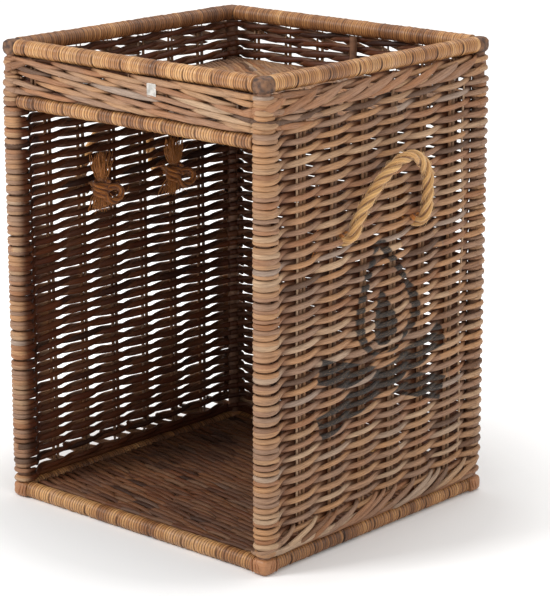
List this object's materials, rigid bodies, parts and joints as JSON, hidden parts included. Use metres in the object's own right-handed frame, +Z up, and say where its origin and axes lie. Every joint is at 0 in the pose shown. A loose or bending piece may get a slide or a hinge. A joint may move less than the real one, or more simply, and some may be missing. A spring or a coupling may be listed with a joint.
{
  "type": "woven rattan log basket",
  "caption": "Tall woven rattan log basket, open at the front, with a recessed tray on top, cane-bound rims and a rope handle on each side wall.",
  "frame": {"origin": "centre of the footprint, on the surface the basket stands on", "axes": "+Z up, the open front faces -Y, the stencilled wall faces +X"},
  "size_m": [0.5684, 0.485, 0.68],
  "materials": {
    "weave": "matte",
    "stencilled_weave": "matte",
    "cane_binding": "satin",
    "cane_skin": "satin",
    "rattan_pole": "matte",
    "stake": "matte",
    "jute_rope": "matte",
    "steel_nail": "satin",
    "tag_metal": "satin"
  },
  "bodies": {
    "basket": {"back_left_post": "rattan_pole", "back_left_post_wrap": "weave", "back_right_post": "rattan_pole", "back_right_post_wrap": "weave", "back_wall_base_border": "weave", "back_wall_stakes": "stake", "back_wall_top_border": "weave", "back_wall_weave": "weave", "base_back_binding": "cane_binding", "base_back_pole": "rattan_pole", "base_front_binding": "cane_binding", "base_front_pole": "rattan_pole", "base_left_binding": "cane_binding", "base_left_pole": "rattan_pole", "base_right_binding": "cane_binding", "base_right_pole": "rattan_pole", "blank_tag": "tag_metal", "foot_caps": "cane_skin", "frame_nails": "steel_nail", "front_band_stakes": "stake", "front_band_weave": "weave", "front_left_post": "rattan_pole", "front_left_post_wrap": "weave", "front_right_post": "rattan_pole", "front_right_post_wrap": "weave", "left_back_rope_knot": "jute_rope", "left_front_rope_knot": "jute_rope", "left_wall_base_border": "weave", "left_wall_stakes": "stake", "left_wall_top_border": "weave", "left_wall_weave": "weave", "log_floor_rods": "stake", "log_floor_weave": "weave", "middle_front_binding": "cane_binding", "middle_front_pole": "rattan_pole", "right_back_rope_knot": "jute_rope", "right_front_rope_knot": "jute_rope", "right_wall_base_border": "weave", "right_wall_stakes": "stake", "right_wall_top_border": "weave", "right_wall_weave": "stencilled_weave", "top_back_binding": "cane_binding", "top_back_pole": "rattan_pole", "top_front_binding": "cane_binding", "top_front_pole": "rattan_pole", "top_left_binding": "cane_binding", "top_left_pole": "rattan_pole", "top_right_binding": "cane_binding", "top_right_pole": "rattan_pole", "tray_back_bearer": "rattan_pole", "tray_back_upright": "rattan_pole", "tray_floor_rods": "stake", "tray_floor_weave": "weave", "tray_left_bearer": "rattan_pole", "tray_right_bearer": "rattan_pole"},
    "left_handle": {"left_rope_handle": "jute_rope"},
    "right_handle": {"right_rope_handle": "jute_rope"}
  },
  "joints": [
    {"name": "left_handle_swing", "type": "hinge", "parent": "basket", "child": "left_handle", "pos_m": [-0.264, 0, 0.444], "axis": [0, -1, 0], "range_deg": [-4, 165]},
    {"name": "right_handle_swing", "type": "hinge", "parent": "basket", "child": "right_handle", "pos_m": [0.264, 0, 0.444], "axis": [0, 1, 0], "range_deg": [-4, 165]}
  ]
}
